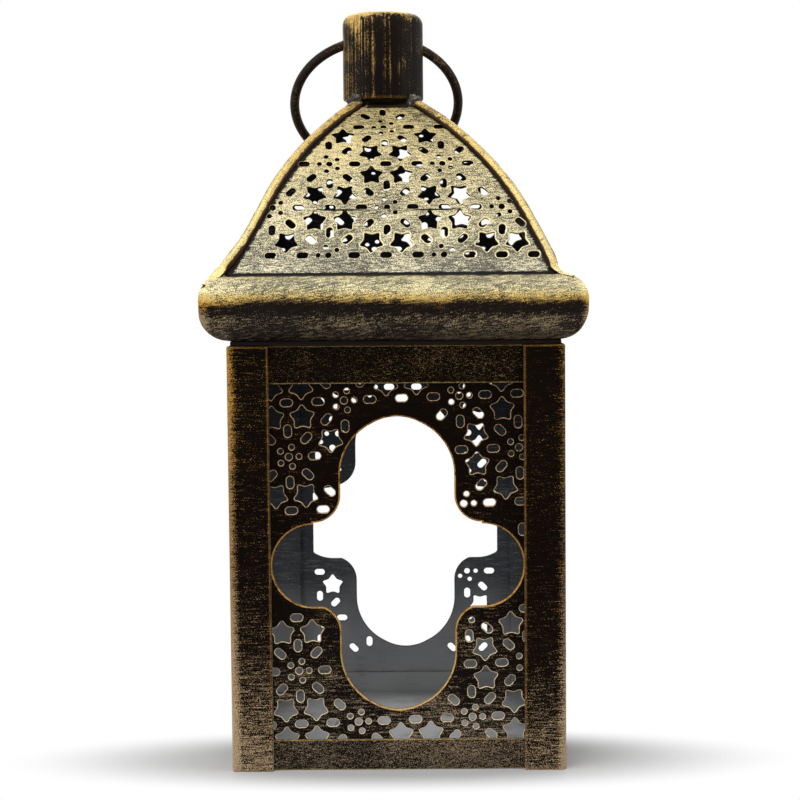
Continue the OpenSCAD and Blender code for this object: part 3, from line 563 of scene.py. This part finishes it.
def pierced(name, k, outer, rim, sloped=False, rim_mm=0.2, window_mm=0.4):
    """A pierced sheet with rolled rims, black cut edges and a grey inner skin."""
    bm = merged_copy(name)
    bm.normal_update()
    stars_rounded(bm, k, sloped)
    bm.edges.index_update()
    side = {f: skin_side(f, k, sloped) for f in bm.faces}
    for face, s in side.items():
        if not s and face.calc_area() > FLANGE_AREA * MM * MM and not sloped:
            side[face] = -1
    for face, s in side.items():
        face.material_index = {1: OUTER, 0: CUT, -1: INNER}[s]
    rims = []
    for group in islands(f for f in bm.faces if not side[f]):
        size = extent(group)
        kind = "hole" if size < HOLE_SIZE else "window" if size < WINDOW_SIZE and not sloped else None
        if kind:
            edges = {e for f in group for e in f.edges
                     if len(e.link_faces) == 2 and sorted(side[g] for g in e.link_faces) == [0, 1]}
            rims.append((kind, sorted(edges, key=lambda e: e.index)))
    # On the bent roof each hole by itself, since one short edge narrows all that are rolled along with it
    if not sloped:
        rims = [(kind, [e for of, edges in rims if of == kind for e in edges]) for kind in ("window", "hole")]
    for kind, edges in rims:
        made = bmesh.ops.bevel(bm, geom=edges, offset=(rim_mm if kind == "hole" else window_mm) * MM,
                               offset_type="OFFSET", affect="EDGES", segments=2, profile=0.5, material=-1,
                               clamp_overlap=sloped)
        for face in made["faces"]:
            face.material_index = HOLE_RIM if kind == "hole" else WINDOW_RIM
    if sloped:
        lean(bm)
    return finished(bm, name + "_pierced", [name], [outer, rim, cut_paint, inside_paint_and_light, window_rim])


# Nodes with an outer and an inner face, and the cosine below which a face looks inwards; of the door's
# fittings, what lies within this distance is inside
SHELL = ("post_", "top_rail_", "bottom_rail_", "door_frame")
FACES_IN = -0.6
FITTINGS = ("door_knob", "latch_", "hinge_")
DOOR_INSIDE = 43.6


def bevelled(name, width, flat_angle=0.3, min_angle=30.0, leaning=False):
    """A CAD node with its edges rounded over by width, in mm."""
    bm = merged_copy(name, flat_angle)
    sharp = [e for e in bm.edges if len(e.link_faces) == 2
             and e.calc_face_angle(0.0) > math.radians(min_angle)]
    if width:
        bmesh.ops.bevel(bm, geom=sharp, offset=width * MM, offset_type="OFFSET", affect="EDGES",
                        segments=2, profile=0.5, material=-1, clamp_overlap=True)
    for face in bm.faces:
        spot = face.calc_center_median().xy
        inward = name.startswith(SHELL) and face.normal.xy.dot(spot.normalized()) < FACES_IN
        behind = name.startswith(FITTINGS) and spot.y < DOOR_INSIDE * MM
        face.material_index = int(inward or behind)
    if leaning:
        lean(bm)
    return finished(bm, name + "_finished", [name], [FINISH[slot_of[name]], inside_paint_and_light])


def skin(rows, cols, place, ridge=None):
    """A grid rolled into a closed loop of cols places, rows long, with closed ends; place gives a corner's
    spot in mm. Round the ridge's angle the corners carry how far they face its way, for the paint."""
    bm = bmesh.new()
    bmesh.ops.create_grid(bm, x_segments=cols, y_segments=rows, size=1.0)
    crest = bm.verts.layers.float.new("ridge") if ridge else None
    for v in bm.verts:
        col = round((v.co.x + 1) / 2 * cols)
        row = round((v.co.y + 1) / 2 * rows)
        if ridge:
            v[crest] = math.cos(2 * math.pi * col / cols - ridge)
        v.co = Vector(place(row / rows, col % cols)) * MM
    bmesh.ops.remove_doubles(bm, verts=bm.verts, dist=1e-7)
    bmesh.ops.holes_fill(bm, edges=[e for e in bm.edges if e.is_boundary], sides=0)
    bmesh.ops.recalc_face_normals(bm, faces=bm.faces)
    return bm


def arc(x, y, r, start, end, steps):
    """Points along an arc between two angles in degrees."""
    return [(x + r * math.cos(math.radians(start + (end - start) * i / steps)),
             y + r * math.sin(math.radians(start + (end - start) * i / steps))) for i in range(steps + 1)]


def cornice_outline():
    """Section of the cornice: distance from the axis and height, round the outside and back inside."""
    low = (CORNICE_HALF - CORNICE_LOWER_R, CORNICE_Z + CORNICE_LOWER_R)
    high = (CORNICE_HALF - CORNICE_UPPER_R, ROOF_Z - CORNICE_UPPER_R)
    outer = [(CORNICE_OPEN_HALF, CORNICE_Z)] + arc(*low, CORNICE_LOWER_R, -90, 0, 10)
    outer += arc(*high, CORNICE_UPPER_R, 0, 90, 10) + [(CORNICE_OPEN_HALF, ROOF_Z)]
    inner = [(CORNICE_OPEN_HALF, CORNICE_Z + CORNICE_T)]
    inner += arc(*low, CORNICE_LOWER_R - CORNICE_T, -90, 0, 6)
    inner += arc(*high, CORNICE_UPPER_R - CORNICE_T, 0, 90, 6) + [(CORNICE_OPEN_HALF, ROOF_Z - CORNICE_T)]
    return outer + inner[::-1]


# How much further out the left end of the real cornice reaches, and the part of its section that is dented
CORNICE_LEFT = 0.7
CORNICE_SKIN_HALF = CORNICE_OPEN_HALF + 5


def cornice(k):
    """Rolled moulding, mitred at its ends and dented a little by hand."""
    outline = cornice_outline()
    turn = side_turn(k)

    def place(row, col):
        h, z = outline[col]
        along = 2 * row - 1
        spot = turn @ Vector((along * h, -h, z))
        if CORNICE_Z + 0.5 < z < ROOF_Z - 0.1 and h > CORNICE_SKIN_HALF:
            h += min(0.0, 0.3 * (noise.noise(spot / 11.0) - 0.3) + 0.12 * noise.noise(spot / 4.0))
            spot = turn @ Vector((along * h, -h, z))
        if h > CORNICE_SKIN_HALF:
            spot.x -= CORNICE_LEFT * share(-spot.x, 40, 46)
        return spot
    name = "cornice_" + SIDES[k]
    finished(skin(44, len(outline), place), name + "_rolled", [name], [cornice_paint_and_light], 40.0)


def roof_height(h):
    """Height of the roof's outer face at a distance from its axis."""
    if h > BEND_HALF:
        return BEND_Z - (h - BEND_HALF) * math.tan(ROOF_SLOPE)
    return ARC_Z + math.sqrt(ROOF_R ** 2 - (h - ARC_HALF) ** 2)


# A hip bead's rows and its corners round each; the share of the rows that lie on the cornice's corner, and
# the angles in degrees of its roll between which they lie
BEAD_ROWS, BEAD_COLS = 90, 16
FOOT_ROWS = 0.14
FOOT_TOP = 84
FOOT_END_LEFT, FOOT_END_RIGHT = 28, 58
# Share of the rows over which a bead bridges the corner between roof and cornice
BRIDGE_LEFT, BRIDGE_RIGHT = 0.04, 0.02
# Where a bead meets the roof's foot and its top, from the axis, and how far it stands off the sheet
HIP_FOOT_HALF = 44.9
HIP_TOP_HALF = ROOF_TOP_HALF - 0.4
HIP_RISE = 0.3
# How far the left hips of the real roof bulge near their top, and their bent feet stand off the corner
BEAD_BULGE = 0.55
FOOT_LIFT = 0.9
# Where round a bead its brushed ridge lies, in degrees: towards the front at the front, the back at the back,
# so that its gold also serves as a painted highlight and its flanks as painted shade
LIT_RIDGE = 55


def hip_bead(k):
    """Rolled strip over a hip; its flattened foot is bent out and down over the cornice's corner."""
    turn = side_turn(k)
    out = Vector((-1, -1, 0)).normalized()
    across = Vector((1, -1, 0)).normalized()
    left = k in (0, 3)
    end = FOOT_END_LEFT if left else FOOT_END_RIGHT
    bridge = BRIDGE_LEFT if left else BRIDGE_RIGHT

    def middle(row):
        if row < FOOT_ROWS:
            a = math.radians(end + (FOOT_TOP - end) * row / FOOT_ROWS)
            r = CORNICE_UPPER_R + 0.1
            h = CORNICE_HALF - CORNICE_UPPER_R + r * math.cos(a)
            z = ROOF_Z - CORNICE_UPPER_R + r * math.sin(a)
        else:
            h = HIP_FOOT_HALF + (HIP_TOP_HALF - HIP_FOOT_HALF) * (row - FOOT_ROWS) / (1 - FOOT_ROWS)
            z = roof_height(min(h, HIP_FOOT_HALF - 0.3))
        return Vector((-h, -h, z))

    def smooth(row, spread):
        spread *= max(1 - share(row, 0.24, 0.34), 0.15)
        near = [middle(min(max(row + spread * i, 0.0), 1.0)) for i in range(-3, 4)]
        return sum(near, Vector()) / len(near)

    def place(row, col):
        a = 2 * math.pi * col / BEAD_COLS
        spot = smooth(row, bridge)
        ahead = (smooth(min(row + 0.01, 1), bridge) - smooth(max(row - 0.01, 0), bridge)).normalized()
        up = ahead.cross(across).normalized()
        if up.dot(out) < 0:
            up = -up
        rolled = share(row, FOOT_ROWS, FOOT_ROWS + 0.07)
        rolled = rolled * rolled * (3 - 2 * rolled)
        r = BEAD_R * (0.96 + 0.12 * noise.noise(turn @ spot / 6.0))
        spot = spot.lerp(smooth(row, 0.01), max(-math.sin(a), 0.0))
        r *= 1 + 0.06 * noise.noise(turn @ spot / 2.0 + Vector((a, 0, 0)))
        wide = r * (1.0 + (1 - rolled) * 0.5 * noise.noise(turn @ spot / 3.0))
        wide *= 0.35 + 0.65 * share(row, 0, 0.03)
        high = r * (0.2 + 0.8 * rolled) * (0.5 + 0.5 * share(1 - row, 0, 0.03))
        aside = wide * math.cos(a)
        folded = Vector((aside, 0, 0)) if aside > 0 else Vector((0, -aside, 0))
        spot = spot + across * (aside * rolled) + folded * ((1 - rolled) * math.sqrt(2))
        spot = turn @ (spot + up * (high * math.sin(a) + HIP_RISE * rolled))
        spot.x += share(spot.z, 131.5, 134.5) * (ROOF_X + roof_lean(spot.z))
        if left:
            spot.x -= BEAD_BULGE * hump(spot.z, 167, 15)
            spot.x -= CORNICE_LEFT * (1 - share(spot.z, 131, 139))
            spot.x -= FOOT_LIFT * hump(spot.z, 134.2, 4.6) * max(math.sin(a), 0.0)
        return spot
    bm = skin(BEAD_ROWS, BEAD_COLS, place, math.radians(LIT_RIDGE if k in (0, 2) else 180 - LIT_RIDGE))
    name = "hip_bead_" + CORNERS[k]
    finished(bm, name + "_rolled", [name], [bead_paint], 60.0)


# Half sizes of a solder lump in mm, and where the front left one lies from the roof's top
SOLDER_HALF = (1.7, 1.7, 1.9)
SOLDER_OUT = 8.2
SOLDER_UP = 0.7


def solder(k):
    """Lump of solder that holds the top of a hip bead to the saddle."""
    bm = bmesh.new()
    bmesh.ops.create_icosphere(bm, subdivisions=4, radius=1.0)
    middle = side_turn(k) @ Vector((-SOLDER_OUT, -SOLDER_OUT, ROOF_TOP_Z + SOLDER_UP))
    middle.x += CAP_X + 0.3
    for v in bm.verts:
        lump = 1 + 0.6 * noise.noise(v.co * 1.1 + middle) + 0.25 * noise.noise(v.co * 3.0 + middle)
        v.co = (middle + Vector([c * half for c, half in zip(v.co, SOLDER_HALF)]) * lump) * MM
    finished(bm, "solder_" + CORNERS[k], [], [solder_paint], 60.0, slot="saddle")


for k, name in enumerate(CORNERS):
    bevelled("post_" + name, 0.35)
    hip_bead(k)
    solder(k)
for k, name in enumerate(SIDES):
    bevelled("top_rail_" + name, 0.2)
    bevelled("bottom_rail_" + name, 0.2)
    cornice(k)
    pierced("roof_panel_" + name, k, roof_paint, roof_rim, sloped=True, rim_mm=0.36)
for name, k in (("panel_front", 0), ("panel_right", 1), ("panel_left", 3), ("door_panel", 2)):
    pierced(name, k, wall_paint, wall_rim)
for name, width in (("door_frame", 0.25), ("door_knob", 0.1), ("latch_button", 0.15), ("latch_rivet", 0.1),
                    ("latch_washer", 0.08), ("floor_pan", 0.2), ("crown_frame", 0.2)):
    bevelled(name, width)
for end in ("upper", "lower"):
    for part in ("door_leaf", "post_leaf", "pin"):
        bevelled(f"hinge_{end}_{part}", 0.12)
bevelled("cap_saddle", 0.15, leaning=True)
bevelled("cap", 0.15, min_angle=60)
bevelled("ring", 0, flat_angle=0.01)


# Camera at the photograph's angle
CAMERA_MM = (14.1, -554.2, 136.6)
PITCH_DOWN = 4.11
ROLL = -0.412
FOCAL_PX = 1923.1
AXIS_PX = 449.2
FRAME_PX = 800

camera_data = bpy.data.cameras.new("camera")
camera_data.sensor_width = 36
camera_data.lens = FOCAL_PX / FRAME_PX * camera_data.sensor_width
camera_data.shift_x = (FRAME_PX / 2 - AXIS_PX) / FRAME_PX
camera_data.clip_start = 0.01
camera = bpy.data.objects.new("camera", camera_data)
camera.matrix_world = (Matrix.Translation(Vector(CAMERA_MM) * MM)
                       @ Matrix.Rotation(math.radians(90 - PITCH_DOWN), 4, "X")
                       @ Matrix.Rotation(math.radians(ROLL), 4, "Z"))
bpy.context.scene.collection.objects.link(camera)
bpy.context.scene.camera = camera


# Floor and light
def shown(tree):
    """1 for rays that see the background: from the camera, mirrored or passed through."""
    path = node(tree, "LightPath")
    seen = calc(tree, "MAXIMUM", path.outputs["Is Camera Ray"], path.outputs["Is Glossy Ray"])
    return calc(tree, "MAXIMUM", seen, path.outputs["Is Transmission Ray"])


# Inside an ellipse around the lantern's shadow the floor is grey, which takes the real shadow and also
# darkens the floor there as a painted shadow; outside it the floor gives way to white. Sizes in mm
SHADE_MIDDLE = (0.0, -32.0, 0.0)
SHADE_HALF = (112.0, 36.0, 1000.0)
SHADE_FROM = 0.45

FLOOR_HALF_M = 6.0

bm = bmesh.new()
bmesh.ops.create_grid(bm, x_segments=1, y_segments=1, size=FLOOR_HALF_M)
mesh = bpy.data.meshes.new("floor")
bm.to_mesh(mesh)
bm.free()
floor = bpy.data.objects.new("floor", mesh)
bpy.context.scene.collection.objects.link(floor)
paper = bpy.data.materials.new("white_paper_painted_shadow")
paper.use_nodes = True
tree = paper.node_tree
tree.nodes.clear()
# Grey floor within the ellipse: a painted shadow besides the real one it takes
near = node(tree, "BsdfDiffuse", {"Color": linear("#b2b2b2")}).outputs[0]
white = node(tree, "Emission", {"Strength": 1.0}).outputs[0]
spot = node(tree, "VectorMath", {0: node(tree, "TexCoord").outputs["Object"],
                                 1: [v * MM for v in SHADE_MIDDLE]}, operation="SUBTRACT").outputs[0]
spot = node(tree, "VectorMath", {0: spot, 1: [v * MM for v in SHADE_HALF]}, operation="DIVIDE").outputs[0]
away = node(tree, "VectorMath", {0: spot}, operation="LENGTH").outputs["Value"]
fade = node(tree, "MapRange", {0: away, 1: SHADE_FROM, 2: 1.0}, interpolation_type="SMOOTHSTEP").outputs[0]
both = node(tree, "MixShader", {0: calc(tree, "MULTIPLY", shown(tree), fade), 1: near, 2: white}).outputs[0]
node(tree, "OutputMaterial", {0: both})
floor.data.materials.append(paper)

world = bpy.data.worlds.new("studio")
bpy.context.scene.world = world
world.use_nodes = True
tree = world.node_tree
tree.nodes.clear()
soft = node(tree, "Background", {"Color": [1, 1, 1, 1], "Strength": 0.55}).outputs[0]
white = node(tree, "Background", {"Color": [1, 1, 1, 1], "Strength": 1.0}).outputs[0]
both = node(tree, "MixShader", {0: shown(tree), 1: soft, 2: white}).outputs[0]
node(tree, "OutputWorld", {0: both})


def lamp(name, place, aim, size, power):
    """A square soft lamp that looks at a point; places and size in mm, power in W."""
    data = bpy.data.lights.new(name, "AREA")
    data.shape = "SQUARE"
    data.size = size * MM
    data.energy = power
    made = bpy.data.objects.new(name, data)
    made.location = Vector(place) * MM
    made.rotation_mode = "QUATERNION"
    made.rotation_quaternion = (Vector(aim) - Vector(place)).to_track_quat("-Z", "Y")
    bpy.context.scene.collection.objects.link(made)


lamp("key_above", (-150, -400, 800), (0, 0, 120), 500, 4)
lamp("fill_left", (-700, -300, 250), (0, 0, 100), 400, 2.0)
lamp("fill_right", (700, -200, 250), (0, 0, 100), 400, 1.6)
lamp("back_above", (0, 500, 500), (0, 0, 60), 500, 3)

bpy.context.scene.view_settings.view_transform = "Standard"
